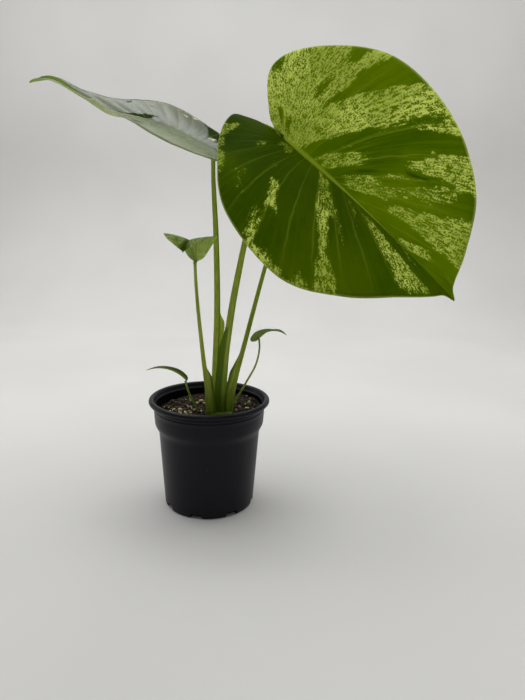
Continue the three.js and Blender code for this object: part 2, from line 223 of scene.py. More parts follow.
def leaf_veins():
    """Masks of the side veins, the fine veins between them and the midrib, from a leaf's own places."""
    outputs = {"Side veins": "value", "Fine veins": "value", "Midrib": "value"}
    group, _, out = effect("leaf veins", {}, outputs)
    spot = add(group, "SeparateXYZ", {0: attribute(group, "vein").outputs["Vector"]})
    row, share = spot.outputs[0], spot.outputs[1]
    wander = grain(group, attribute(group, "vein").outputs["Vector"], 9.0, 2.0)
    sideways = maths(group, "MULTIPLY", maths(group, "SUBTRACT", wander, 0.5), VEIN_WANDER)
    bent = maths(group, "ADD", row, sideways)

    def lines(count, narrow, wide):
        turns = maths(group, "MULTIPLY", bent, math.pi * count)
        swing = maths(group, "ABSOLUTE", maths(group, "SINE", turns))
        return maths(group, "SUBTRACT", 1.0, ramp(group, swing, narrow, wide))

    fade = maths(group, "SUBTRACT", 1.0, ramp(group, share, 0.55, 1.0, 0.0, 0.8))
    links = group.links
    links.new(maths(group, "MULTIPLY", lines(VEINS, 0.02, 0.2), fade), out.inputs[0])
    links.new(lines(FINE_VEINS, 0.1, 0.75), out.inputs[1])
    links.new(maths(group, "SUBTRACT", 1.0, ramp(group, share, 0.008, 0.035)), out.inputs[2])
    return group


def speckles():
    """Fine pale speckles that run with the veins, more of them where Amount is higher.

    Halo is the wider and paler green ground that they stand in.
    """
    inputs = {"Amount": "value", "Size": "value"}
    group, given, out = effect("speckles", inputs, {"Speckle": "value", "Halo": "value"})
    flat = attribute(group, "flat").outputs["Vector"]
    vein = attribute(group, "vein").outputs["Vector"]
    fine = add(group, "TexNoise", {"Vector": flat, "Detail": 2.0, "Roughness": 0.6})
    group.links.new(given.outputs["Size"], fine.inputs["Scale"])
    streak = grain(group, vein, 1.0, 3.0, stretch=(320, 16, 5))
    clump = grain(group, flat, 0.2, 3.0)
    mixed = maths(group, "MULTIPLY", fine.outputs[0], 0.4)
    mixed = maths(group, "ADD", mixed, maths(group, "MULTIPLY", streak, 0.4))
    mixed = maths(group, "ADD", mixed, maths(group, "MULTIPLY", clump, 0.2))
    level = ramp(group, given.outputs["Amount"], 0.0, 1.0, PLAIN_LEVEL, SOLID_LEVEL)
    above = maths(group, "SUBTRACT", mixed, level)
    group.links.new(ramp(group, above, -0.012, 0.05), out.inputs[0])
    group.links.new(ramp(group, above, -0.09, 0.0), out.inputs[1])
    return group


def leaf_grain():
    """The clouds, lengthwise strands and pores of a leaf, each as noise from 0 to 1."""
    outputs = {"Cloud": "value", "Strands": "value", "Pores": "value"}
    group, _, out = effect("leaf grain", {}, outputs)
    flat = attribute(group, "flat").outputs["Vector"]
    vein = attribute(group, "vein").outputs["Vector"]
    group.links.new(grain(group, flat, 0.02, 3.0), out.inputs["Cloud"])
    group.links.new(grain(group, vein, 1.0, 3.0, stretch=(180, 2.0, 5)), out.inputs["Strands"])
    group.links.new(grain(group, flat, 5.0, 2.0), out.inputs["Pores"])
    return group


LEAF_VEINS = leaf_veins()
SPECKLES = speckles()
LEAF_GRAIN = leaf_grain()
SPECKLE_SCALE = 0.8
# Brightness of the light that each skin of a leaf or stalk lets through
THROUGH = 1.8


def lit_through(tree, skin_colour):
    """The colour for light that passes two skins, of which each takes its square root."""
    root = add(tree, "Gamma", {"Color": skin_colour, "Gamma": 0.5}).outputs[0]
    return add(tree, "HueSaturation", {"Color": root, "Value": THROUGH}).outputs[0]


def leaf_material(name, deep, mid, pale, under, rib, glow=0.55, shine=0.42, gloss=0.01):
    """A leaf: deep green with lighter clouds and strands, pale speckles and veins, a duller underside.

    mid is the green between speckles, glow the share of light that comes through, shine the
    roughness and gloss the strength of reflections. Where the speckle amount is below 0 the blade
    is plain and has no gloss: at -0.3 it has painted shade, a darker green, and at -0.8 a painted
    glow, a lighter green for light that shines through. The lower half also has painted shade.
    """
    material, tree, out = new_material(name)
    veins = use(tree, LEAF_VEINS)
    amount = attribute(tree, "speckle").outputs["Fac"]
    marks = use(tree, SPECKLES, {"Amount": amount, "Size": SPECKLE_SCALE})
    grains = use(tree, LEAF_GRAIN)
    cloud = grains["Cloud"]
    below = attribute(tree, "under").outputs["Fac"]
    spot = add(tree, "SeparateXYZ", {0: attribute(tree, "vein").outputs["Vector"]})
    share, half = spot.outputs[1], spot.outputs[2]
    plain = ramp(tree, amount, -0.3, -0.05, 1.0, 0.0)
    # Painted glow: where the amount is near -0.8 the blade is painted a lighter green for light that
    # shines through its tip.
    fresh = ramp(tree, amount, -0.7, -0.5, 1.0, 0.0)
    # Painted shade: where the amount is near -0.3 the blade is painted a darker green where it lies in
    # shade.
    dark = maths(tree, "MULTIPLY", plain, ramp(tree, amount, -0.7, -0.4))

    green = blend(tree, ramp(tree, cloud, 0.35, 0.7), deep, mid)
    green = blend(tree, ramp(tree, grains["Strands"], 0.42, 0.72, 0.0, 0.55), green, mid)
    # Painted shade: the lower half of the blade, which faces away from the light, is painted darker,
    # most near the midrib.
    lower_half = ramp(tree, half, -0.5, 0.5, 0.75, 0.0)
    painted_lower_shade = maths(tree, "MULTIPLY", lower_half, ramp(tree, share, 0.0, 1.0, 1.0, 0.7))
    green = blend(tree, painted_lower_shade, green, dimmed(deep, 0.5))
    # Painted shade where the amount is near -0.3.
    green = blend(tree, dark, green, dimmed(deep, 0.5))
    # Painted glow of light through the tip where the amount is near -0.8.
    green = blend(tree, fresh, green, dimmed(mid, 1.5))
    green = blend(tree, maths(tree, "MULTIPLY", marks["Halo"], 0.9), green, mid)
    near_rib = ramp(tree, share, 0.1, 0.6, 0.65, 0.0)
    greener = maths(tree, "MAXIMUM", near_rib, ramp(tree, cloud, 0.35, 0.65, 0.0, 0.6))
    cream = blend(tree, greener, pale, rib)
    green = blend(tree, marks["Speckle"], green, cream)
    lined = blend(tree, maths(tree, "MULTIPLY", veins["Side veins"], 0.16), green, rib)
    lined = blend(tree, maths(tree, "MULTIPLY", veins["Fine veins"], 0.22), lined, deep)
    lined = blend(tree, maths(tree, "MULTIPLY", veins["Midrib"], 0.85), lined, rib)
    edge = ramp(tree, share, 0.982, 0.997, 0.0, 0.5)
    upper = blend(tree, edge, lined, cream)
    lower = blend(tree, 0.45, upper, under)
    lower = blend(tree, maths(tree, "MULTIPLY", veins["Side veins"], 0.45), lower, cream)
    skin_colour = blend(tree, below, upper, lower)

    height = maths(tree, "MULTIPLY", veins["Fine veins"], 0.6)
    height = maths(tree, "SUBTRACT", maths(tree, "MULTIPLY", grains["Pores"], 0.35), height)
    normal = relief(tree, height, 0.00012, 0.6)
    duller_below = maths(tree, "MULTIPLY", below, 0.18)
    rough = maths(tree, "ADD", ramp(tree, cloud, 0.2, 0.8, shine - 0.05, shine + 0.06), duller_below)
    waxy = maths(tree, "MULTIPLY", maths(tree, "SUBTRACT", 1.0, plain), gloss)
    surface = add(tree, "BsdfPrincipled", {"Base Color": skin_colour, "Roughness": rough,
                                           "Normal": normal, "Specular IOR Level": waxy})
    lit = lit_through(tree, skin_colour)
    through = add(tree, "BsdfTranslucent", {"Color": lit, "Normal": normal})
    both = add(tree, "MixShader", {0: glow, 1: surface.outputs[0], 2: through.outputs[0]})
    tree.links.new(both.outputs[0], out.inputs[0])
    return material


# Leaf blades, on the same formulas as the solids but finer

# An outline is the blade's reach from the notch at these angles from the midrib, as shares of its
# length, from the lobe to the tip.
REACH_ANGLES_DEG = [180, 172, 160, 142, 118, 92, 66, 42, 24, 10, 3.5, 1.2, 0]
CUP_WIDTH = 0.55
LOBE_FOLD = -0.3
RIPPLE_OFFSET = 1.1
TWIST_START = 0.72
TWIST_END = 0.9
VEIN_START_POWER = 3.6
VEIN_START_SPREAD = 0.9
VEIN_BOW = 0.14

BIG_UPPER_HALF = [0.05, 0.135, 0.28, 0.343, 0.412, 0.538, 0.691, 0.818, 0.899, 0.945, 0.965]
BIG_LOWER_HALF = [0.145, 0.225, 0.24, 0.272, 0.332, 0.5, 0.686, 0.788, 0.871, 0.934, 0.96]
LONG_HALF = [0.07, 0.17, 0.26, 0.315, 0.38, 0.46, 0.545, 0.585, 0.66, 0.89, 0.96]
LONG_FAR_HALF = [0.07, 0.16, 0.235, 0.27, 0.31, 0.38, 0.455, 0.53, 0.645, 0.89, 0.96]
HEART_HALF = [0.07, 0.17, 0.25, 0.31, 0.36, 0.44, 0.53, 0.65, 0.79, 0.9, 0.95]
WEDGE_HALF = [0.012, 0.018, 0.024, 0.032, 0.05, 0.2, 0.64, 0.8, 0.89, 0.945, 0.965]
NARROW_HALF = [0.012, 0.02, 0.03, 0.045, 0.07, 0.11, 0.17, 0.29, 0.5, 0.78, 0.9]

# A speckled patch runs between two veins over part of the way from the midrib to the margin.
# Rows are 0 at the notch and 1 at the tip, and shares 0 at the midrib and 1 at the margin. Each
# patch is: half (1 or -1), shares from and to, rows at the inner end, rows at the outer end, and
# amount: from 0 for plain green to 1 for solid pale, or -0.3 for painted shade and -0.8 for a
# painted glow of light through the blade, both without gloss. A later patch covers earlier ones.
BIG_PATCHES = [
    (1, -0.1, 0.22, (-0.1, 0.45), (-0.1, 0.55), 0.6),
    (1, 0.2, 1.1, (-0.1, 0.55), (-0.1, 0.612), 0.6),
    (1, 0.88, 1.1, (0.445, 0.46), (0.43, 0.465), 0.05),
    (1, 0.82, 1.1, (0.457, 0.472), (0.464, 0.492), 0.72),
    (1, 0.42, 0.7, (0.47, 0.476), (0.488, 0.515), 0.06),
    (1, 0.68, 1.1, (0.478, 0.515), (0.492, 0.538), 0.02),
    (1, 0.1, 0.24, (0.3, 0.36), (0.33, 0.36), 0.34),
    (1, 0.2, 0.42, (0.27, 0.3), (0.26, 0.29), 0.34),
    (1, 0.9, 1.1, (0.26, 0.3), (0.27, 0.31), 0.34),
    (1, 0.5, 0.62, (0.43, 0.444), (0.425, 0.445), 0.34),
    (1, 0.5, 0.95, (0.572, 0.58), (0.57, 0.588), 0.4),
    (1, 0.26, 0.4, (0.575, 0.585), (0.585, 0.591), 0.46),
    (1, 0.72, 0.8, (0.615, 0.622), (0.615, 0.626), 0.44),
    (1, 0.03, 0.36, (0.565, 0.635), (0.606, 0.64), 0.56),
    (1, 0.57, 1.1, (0.634, 0.648), (0.618, 0.686), 0.58),
    (1, 0.38, 0.58, (0.652, 0.667), (0.658, 0.671), 0.56),
    (1, 0.06, 0.4, (0.66, 0.712), (0.662, 0.722), 0.54),
    (1, 0.36, 0.92, (0.688, 0.71), (0.665, 0.695), 0.52),
    (1, 0.32, 1.1, (0.728, 0.75), (0.7, 0.815), 0.57),
    (1, 0.14, 0.7, (0.84, 0.885), (0.795, 0.84), 0.58),
    (1, 0.85, 1.1, (0.84, 0.86), (0.84, 0.88), 0.42),
    (1, 0.22, 0.4, (0.648, 0.657), (0.65, 0.658), -0.3),
    (1, 0.55, 0.76, (0.652, 0.66), (0.66, 0.668), -0.3),
    (-1, 0.76, 0.95, (0.25, 0.3), (0.285, 0.355), 0.64),
    (-1, 0.91, 1.1, (0.28, 0.45), (0.28, 0.45), 0.56),
    (-1, 0.32, 0.48, (0.375, 0.41), (0.375, 0.41), 0.52),
    (-1, 0.04, 0.18, (0.36, 0.47), (0.4, 0.5), 0.5),
    (-1, 0.66, 0.84, (0.455, 0.5), (0.455, 0.505), 0.36),
    (-1, 0.28, 0.45, (0.485, 0.495), (0.515, 0.525), 0.42),
    (-1, 0.42, 0.68, (0.513, 0.537), (0.54, 0.565), 0.62),
    (-1, 0.68, 0.88, (0.522, 0.54), (0.525, 0.545), 0.46),
    (-1, 0.84, 1.1, (0.53, 0.545), (0.532, 0.56), 0.58),
    (-1, 0.9, 1.1, (0.55, 0.562), (0.553, 0.577), 0.58),
    (-1, 0.935, 1.1, (0.565, 0.622), (0.565, 0.624), 0.62),
    (-1, 0.02, 0.42, (0.62, 0.66), (0.625, 0.672), 0.53),
    (-1, 0.38, 0.78, (0.625, 0.652), (0.635, 0.651), 0.6),
    (-1, 0.74, 1.1, (0.632, 0.65), (0.622, 0.665), 0.58),
    (-1, 0.3, 0.66, (0.665, 0.682), (0.67, 0.68), 0.46),
    (-1, 0.08, 0.4, (0.715, 0.738), (0.71, 0.722), 0.42),
    (-1, 0.18, 0.97, (0.75, 0.79), (0.752, 0.845), 0.56),
    (-1, 0.04, 0.55, (0.86, 0.885), (0.84, 0.87), 0.42),
]
LEFT_PATCHES = [
    (-1, 0.86, 1.1, (0.42, 0.68), (0.42, 0.68), 0.4),
    (-1, 0.24, 0.92, (0.39, 0.46), (0.46, 0.525), -0.3),
    (-1, 0.24, 0.34, (0.415, 0.45), (0.425, 0.455), 0.95),
    (-1, 0.68, 0.78, (0.556, 0.57), (0.556, 0.57), 0.9),
    (-1, 0.84, 0.92, (0.533, 0.545), (0.533, 0.545), 0.9),
    (-1, 0.8, 0.9, (0.7, 0.715), (0.7, 0.715), -0.3),
    (-1, 0.6, 0.78, (0.64, 0.65), (0.66, 0.675), -0.25),
    (-1, -0.05, 0.32, (0.715, 0.84), (0.65, 0.67), -0.3),
    (-1, 0.2, 0.9, (0.18, 0.3), (0.2, 0.3), 0.5),
    (1, 0.1, 1.1, (0.1, 0.28), (0.08, 0.3), 0.5),
    (1, 0.3, 0.9, (0.4, 0.41), (0.4, 0.42), 0.34),
    (1, 0.88, 0.96, (0.522, 0.54), (0.522, 0.54), -0.3),
    (1, 0.2, 1.1, (0.66, 0.86), (0.54, 0.86), 0.5),
    (1, -0.1, 1.1, (0.85, 1.1), (0.85, 1.1), -0.8),
    (-1, -0.1, 1.1, (0.84, 1.1), (0.84, 1.1), -0.8),
]
REAR_PATCHES = [
    (-1, 0.2, 1.1, (0.05, 0.22), (0.05, 0.25), 0.5),
    (-1, 0.1, 1.1, (0.4, 0.43), (0.4, 0.46), 0.6),
    (-1, 0.5, 1.1, (0.6, 0.64), (0.6, 0.68), 0.5),
    (-1, 0.1, 0.7, (0.72, 0.75), (0.72, 0.78), 0.4),
    (1, 0.3, 1.1, (0.15, 0.18), (0.15, 0.2), 0.5),
    (1, 0.05, 1.1, (0.33, 0.4), (0.3, 0.43), 0.6),
    (1, 0.2, 0.9, (0.52, 0.54), (0.52, 0.56), 0.7),
    (1, 0.1, 1.1, (0.65, 0.68), (0.64, 0.7), 0.5),
    (1, 0.2, 0.9, (0.8, 0.83), (0.8, 0.86), 0.4),
]
SMALL_PATCHES = [
    (1, 0.1, 1.1, (0.3, 0.8), (0.3, 0.8), 0.54),
    (-1, 0.1, 0.9, (0.3, 0.55), (0.3, 0.55), 0.46),
    (-1, 0.4, 1.1, (0.6, 0.8), (0.6, 0.8), 0.56),
    (1, -0.1, 1.1, (0.84, 1.1), (0.84, 1.1), -0.3),
    (-1, -0.1, 1.1, (0.84, 1.1), (0.84, 1.1), -0.3),
]
YOUNG_PATCHES = [
    (1, 0.2, 1.1, (0.1, 0.7), (0.1, 0.7), 0.42),
    (-1, 0.3, 1.1, (0.2, 0.5), (0.2, 0.5), 0.36),
]

# Thickness and relief are in millimetres: rib is how far the midrib stands out below, and
# quilt how far the blade rises between its side veins. plain is the speckle amount outside the
# patches. Arches lift the midrib, pinches add to the fold and curls to the cup of each half.
# Each of a stalk's wings is: angle round the stalk, height that it reaches, length over which it
# grows and how far it stands out. Each of its painted_shades, a darker green painted where the
# stalk is in shade, is: angle, spread to each side, height that it reaches and amount.
LEAVES = {
    "big": dict(
        notch=(58.2, -25, 315.1), heading=-40, rise=-34.6, roll=-53.2, length=179.4,
        droop=20, lobe_droop=0, fold=(34, 12), cup=25, tip_twist=0,
        halves=(BIG_LOWER_HALF, BIG_UPPER_HALF),
        wave=1.6, waves=4.5, thickness=0.55, rib=1.3, quilt=0.5, rows=192, columns=26,
        plain=0.0, patches=BIG_PATCHES,
        stalk_radii=(3.3, 3.2, 3.1, 2.7, 1.9),
        stalk=((12, -13.3, SEAT), (12.3, -13, 113.5), (16.6, -14, 155.5), (24.3, -17, 205),
               (38, -21.5, 265)),
        wings=((200, 166, 22, 3.4), (20, 150, 30, 1.0)),
        painted_shades=((225, 48, 168, 0.9), (330, 20, 300, 0.25)),
    ),
    "left": dict(
        notch=(1.8, 12, 311.1), heading=176, rise=26.6, roll=15.6, length=169,
        droop=17.2, lobe_droop=20, fold=(14, 23), cup=31, tip_twist=18,
        halves=(LONG_FAR_HALF, LONG_HALF),
        arches=((-0.025, 0.56, 0.17), (0.036, 0.87, 0.1)),
        pinches=(((6, 0.55, 0.22), (-30, 0.86, 0.1)), ((-31, 0.51, 0.17),)),
        curls=((), ((-162, 0.62, 0.22),)),
        wave=1.2, waves=3.5, thickness=0.55, rib=1.2, quilt=0.6, rows=168, columns=22,
        plain=0.0, patches=LEFT_PATCHES,
        stalk_radii=(3, 2.9, 2.7, 2.4, 1.8),
        stalk=((5.3, -10, SEAT), (5.6, -8, 120.1), (6.5, -1, 177.6), (4.6, 6, 240), (1.7, 10.6, 290)),
        wings=((8, 176, 10, 3.8), (172, 130, 30, 0.8)),
        painted_shades=((325, 20, 320, 0.95),),
    ),
    "rear": dict(
        notch=(66.4, 38, 280.8), heading=35, rise=10, roll=8, length=118,
        droop=42, lobe_droop=18, fold=(16, 10), cup=28, tip_twist=0,
        halves=(HEART_HALF, HEART_HALF),
        wave=1.2, waves=3.5, thickness=0.5, rib=0.9, quilt=0.5, rows=144, columns=20,
        plain=0.0, patches=REAR_PATCHES,
        stalk_radii=(2.9, 2.5, 2.1, 1.8, 1.4),
        stalk=((18.8, -12, SEAT), (19.9, -11.6, 104), (28.8, -6, 140.4), (47.1, 16, 213.7),
               (58.5, 29, 255)),
        wings=((190, 142, 20, 3.6), (10, 128, 20, 0.8)),
        painted_shades=((195, 16, 143, 0.9), (290, 60, 300, 0.4)),
    ),
    "small": dict(
        notch=(-10.5, -14, 219.6), heading=-88, rise=76, roll=9, length=50,
        droop=131, lobe_droop=7, fold=(31, 11), cup=23, tip_twist=0,
        halves=(WEDGE_HALF, WEDGE_HALF),
        wave=0, waves=0, thickness=0.5, rib=0.5, quilt=0.22, rows=72, columns=16,
        plain=0.3, patches=SMALL_PATCHES,
        stalk_radii=(3, 2.1, 1.7, 1.45, 1.3),
        stalk=((2.2, -16.8, SEAT), (-0.6, -16.4, 112), (-5.2, -15.7, 150), (-9, -15, 187.8),
               (-10.4, -14.2, 208)),
        wings=((0, 131, 12, 3.4), (180, 112, 20, 0.6)),
        painted_shades=((0, 14, 131, 0.9),),
    ),
    "right_young": dict(
        notch=(43.1, -4, 154.2), heading=-14, rise=52, roll=14, length=29,
        droop=84, lobe_droop=-40, fold=(18, 10), cup=15, tip_twist=0,
        halves=(HEART_HALF, HEART_HALF),
        wave=0, waves=0, thickness=0.45, rib=0.3, quilt=0.16, rows=48, columns=12,
        plain=0.12, patches=YOUNG_PATCHES,
        stalk_radii=(1, 0.95, 0.9, 0.85, 0.8),
        stalk=((19, -2, 76), (20, -2, 88), (32.3, -2, 112.4), (41.2, -3.4, 130.5), (44, -4, 145)),
        wings=(), painted_shades=(),
    ),
    "left_young": dict(
        notch=(-20.8, -3, 114.4), heading=180, rise=48, roll=4, length=39,
        droop=72, lobe_droop=0, fold=(34, 22), cup=0, tip_twist=0,
        halves=(NARROW_HALF, NARROW_HALF),
        wave=0, waves=0, thickness=0.45, rib=0.3, quilt=0.1, rows=56, columns=8,
        plain=0.0, patches=(),
        stalk_radii=(1.1, 1.05, 1, 0.95, 0.9),
        stalk=((-10.4, -2, 74), (-10.8, -2, 84), (-12.6, -2.2, 90), (-16.2, -2.5, 97.4),
               (-20.1, -2.9, 108)),
        wings=(), painted_shades=(),
    ),
}


def leaf_axes(leaf):
    """The directions along the midrib, across the blade and out of its upper side."""
    turn, lift, twist = (math.radians(leaf[key]) for key in ("heading", "rise", "roll"))
    flat = Vector((math.cos(turn), math.sin(turn), 0))
    along = flat * math.cos(lift) + Vector((0, 0, math.sin(lift)))
    up = flat * -math.sin(lift) + Vector((0, 0, math.cos(lift)))
    upper = up * math.cos(twist) + up.cross(along) * math.sin(twist)
    return along, upper.cross(along), upper


def half_outline(reaches):
    """One half's outline as points on the flat blade, with the notch and the tip at its ends."""
    turns = [math.radians(angle) for angle in REACH_ANGLES_DEG]
    whole = (0, *reaches, 1)
    return [(reach * math.cos(turn), reach * math.sin(turn)) for reach, turn in zip(whole, turns)]


def spline(points, share):
    """A point of the uniform Catmull-Rom curve through the points."""
    last = len(points) - 1
    whole = min(int(share * last), last - 1)
    part = share * last - whole
    around = [points[min(max(whole + step, 0), last)] for step in (-1, 0, 1, 2)]
    made = []
    for before, start, end, after in zip(*around):
        leave, arrive = (end - before) / 2, (after - start) / 2
        cubic = (2 * start - 2 * end + leave + arrive) * part ** 3
        square = (3 * end - 3 * start - 2 * leave - arrive) * part ** 2
        made.append(cubic + square + leave * part + start)
    return made


def flat_point(outlines, row, column):
    """A place on the flat blade, where a row follows a side vein from the midrib to the margin."""
    edge_x, edge_y = spline(outlines[0 if column < 0 else 1], row)
    start = row ** VEIN_START_POWER * (1 + VEIN_START_SPREAD * (1 - row))
    share = abs(column)
    bow = VEIN_BOW * share * (1 - share) * abs(edge_y)
    return start + (edge_x - start) * share - bow, math.copysign(edge_y * share, column)


def swelling(swellings, place):
    """How far swellings along the midrib, each with its size, middle and spread, stand at a place."""
    return sum(size * bump(place, middle, spread) for size, middle, spread in swellings)


def blade_point(leaf, axes, outlines, row, column):
    """A place on the folded, cupped, drooping and twisted blade."""
    along, across, upper = axes
    a, b = flat_point(outlines, row, column)
    half = 0 if column < 0 else 1
    bend = math.radians(leaf["lobe_droop"] if a < 0 else leaf["droop"]) or TINY
    near, far = leaf["fold"]
    pinch, curl = (leaf.get(key, ((), ()))[half] for key in ("pinches", "curls"))
    fold = math.radians(near + (far - near) * max(LOBE_FOLD, min(1, a)) + swelling(pinch, a))
    cup = math.radians(leaf["cup"] + swelling(curl, a)) or TINY
    width = CUP_WIDTH / cup
    left = fold - cup * abs(b) / CUP_WIDTH
    offset = RIPPLE_OFFSET if column < 0 else 0
    ripple = leaf["wave"] * math.sin(2 * math.pi * leaf["waves"] * row + offset)
    lift = width * (math.cos(left) - math.cos(fold)) + ripple * abs(column) ** 3 / leaf["length"]
    reach = math.copysign(width * (math.sin(fold) - math.sin(left)), b)
    twist = math.radians(leaf["tip_twist"]) * smooth(a, TWIST_START, TWIST_END)
    y = reach * math.cos(twist) + lift * math.sin(twist)
    height = lift * math.cos(twist) - reach * math.sin(twist) + swelling(leaf.get("arches", ()), a)
    x = math.sin(bend * a) / bend + height * math.sin(bend * a)
    z = -(1 - math.cos(bend * a)) / bend + height * math.cos(bend * a)
    return Vector(leaf["notch"]) + leaf["length"] * (along * x + across * y + upper * z)


def speckle_amount(leaf, half, row, share):
    """How speckled the blade is at a place, with the patches' edges wandering a little."""
    spot = Vector((row * 60, share * 5, half * 9))
    row += 0.005 * noise.noise(spot) + 0.004 * noise.noise(spot * 3)
    share += 0.07 * noise.noise(spot + Vector((3, 7, 1)))
    amount = leaf["plain"]
    for side, share_from, share_to, inner, outer, wanted in leaf["patches"]:
        if side == half:
            way = min(1.0, max(0.0, (share - share_from) / (share_to - share_from)))
            low, high = (a + (b - a) * way for a, b in zip(inner, outer))
            inside = between(row, low, high, 0.003) * between(share, share_from, share_to, 0.04)
            amount += (wanted - amount) * inside
    return amount


def blade(leaf):
    """A thin closed blade with a grooved midrib, side veins and a rib below.

    Its corners carry their place on the flat blade, their row and share, how speckled they are and
    whether they are on the underside.
    """
    axes = leaf_axes(leaf)
    outlines = [half_outline(half) for half in leaf["halves"]]
    bm = bmesh.new()
    bmesh.ops.create_grid(bm, x_segments=2 * leaf["columns"], y_segments=leaf["rows"], size=0.5)
    layers = bm.verts.layers
    flat, vein, facing = (layers.float_vector.new(name) for name in ("flat", "vein", "facing"))
    speckle, under = (layers.float.new(name) for name in ("speckle", "under"))
    for vert in bm.verts:
        row, column = vert.co.y + 0.5, 2 * vert.co.x
        column = math.copysign(abs(column) ** 1.15, column)
        half = -1 if column < 0 else 1
        a, b = flat_point(outlines, row, column)
        vert[flat] = (a * leaf["length"], b * leaf["length"], 40 * half)
        vert[vein] = (row, abs(column), half)
        vert[speckle] = speckle_amount(leaf, half, row, abs(column))
        vert.co = blade_point(leaf, axes, outlines, row, column)
    bmesh.ops.remove_doubles(bm, verts=bm.verts, dist=1e-3)
    bm.normal_update()
    if sum((face.normal for face in bm.faces), Vector()).dot(axes[2]) < 0:
        bmesh.ops.reverse_faces(bm, faces=bm.faces)
        bm.normal_update()
    for vert in bm.verts:
        vert[facing] = vert.normal
    made = bmesh.ops.extrude_face_region(bm, geom=bm.faces[:])
    lower = {vert for vert in made["geom"] if isinstance(vert, bmesh.types.BMVert)}
    for vert in bm.verts:
        row, share, _ = vert[vein]
        from_midrib = abs(vert[flat].y)
        wide = 0.8 + 1.1 * (1 - row)
        lamina = smooth(from_midrib, wide, 5 * wide) * (1 - 0.6 * share ** 4) * smooth(row, 0.25, 0.55)
        swell = leaf["quilt"] * lamina * (abs(math.sin(math.pi * VEINS * row)) ** 0.8 - 0.5)
        rib = bump(from_midrib, 0, wide) * (1 - row) ** 0.7
        if vert in lower:
            vert[under] = 1.0
            push = swell - leaf["thickness"] / 2 - leaf["rib"] * rib
        else:
            push = swell + leaf["thickness"] / 2 - 0.45 * leaf["rib"] * rib
        vert.co += vert[facing] * push
    bmesh.ops.recalc_face_normals(bm, faces=bm.faces)
    return bm


# Leaf stalks

def centripetal(points, share):
    """A point of the centripetal Catmull-Rom curve through the points, for a share from 0 to 1."""
    last = len(points) - 1
    whole = min(int(share * last), last - 1)
    part = share * last - whole
    start, end = points[whole], points[whole + 1]
    before = points[whole - 1] if whole > 0 else start * 2 - end
    after = points[whole + 2] if whole + 2 <= last else end * 2 - start
    pairs = ((before, start), (start, end), (end, after))
    first, middle, final = (math.sqrt((q - p).length) for p, q in pairs)
    leave = (start - before) / first - (end - before) / (first + middle) + (end - start) / middle
    arrive = (end - start) / middle - (after - start) / (middle + final) + (after - end) / final
    leave, arrive = leave * middle, arrive * middle
    cubic = (start * 2 - end * 2 + leave + arrive) * part ** 3
    square = (end * 3 - start * 3 - leave * 2 - arrive) * part ** 2
    return cubic + square + leave * part + start


STEP = 0.001
STALK_SINK = 0.35
FLARE = 0.35
FLARE_START = 0.965
WING_SPREAD = 0.24
WING_RAGGED = 0.12
RIDGES = 9
RIDGE_DEPTH = 0.012


def stalk_route(leaf):
    """The stalk's route, which ends a little sunk into the blade's underside at the notch."""
    _, _, upper = leaf_axes(leaf)
    route = [Vector(point) for point in leaf["stalk"]]
    notch = Vector(leaf["notch"])
    heading = (notch - route[-1]).normalized()
    lean = math.sqrt(1 - heading.dot(upper) ** 2)
    under = leaf["thickness"] / 2 + leaf["stalk_radii"][-1] * lean - STALK_SINK
    return [*route, notch - upper * under - heading * 0.4]


def off_by(turn, degrees):
    """How far a turn round the stalk is from an angle, in radians to either side."""
    return (turn - math.radians(degrees) + math.pi) % math.tau - math.pi


def stalk(leaf):
    """A tapering ridged stalk that widens under its blade, with the sheath's wings low down and painted
    shade on its corners.
    """
    route = stalk_route(leaf)
    radii = leaf["stalk_radii"]
    rows, sides = (150, 48) if leaf["wings"] else (60, 20)

    def place(u, v):
        middle = centripetal(route, u)
        before, after = centripetal(route, max(u - STEP, 0)), centripetal(route, min(u + STEP, 1))
        ahead = (after - before).normalized()
        right = (Vector((1, 0, 0)) - ahead * ahead.x).normalized()
        back = ahead.cross(right)
        spot = min(u * len(radii), len(radii) - 1)
        low = min(int(spot), len(radii) - 2)
        radius = radii[low] + (radii[low + 1] - radii[low]) * (spot - low)
        turn = 2 * math.pi * v
        for degrees, top, grow, height in leaf["wings"]:
            grown = smooth(top - middle.z, 0, grow) * height
            ragged = 1 + WING_RAGGED * noise.noise(middle * 0.12)
            radius += grown * bump(off_by(turn, degrees), 0, WING_SPREAD) * ragged
        radius *= 1 + RIDGE_DEPTH * math.cos(RIDGES * turn + 2 * noise.noise(middle * 0.05))
        radius *= 1 + FLARE * smooth(u, FLARE_START, 1)
        return middle + (right * math.cos(turn) + back * math.sin(turn)) * radius

    # Painted shade: how much darker green is painted at a height and turn round the stalk, on the sides
    # that the light misses and inside the sheath's wings.
    def painted_shade(height, turn):
        deepest = 0.0
        for degrees, spread, top, amount in leaf["painted_shades"]:
            away = abs(off_by(turn, degrees))
            near = 1 - smooth(away, math.radians(spread) * 0.7, math.radians(spread))
            deepest = max(deepest, amount * near * smooth(top - height, 0, 5))
        return deepest

    return close_tube(skin(rows, sides, place, painted_shade))


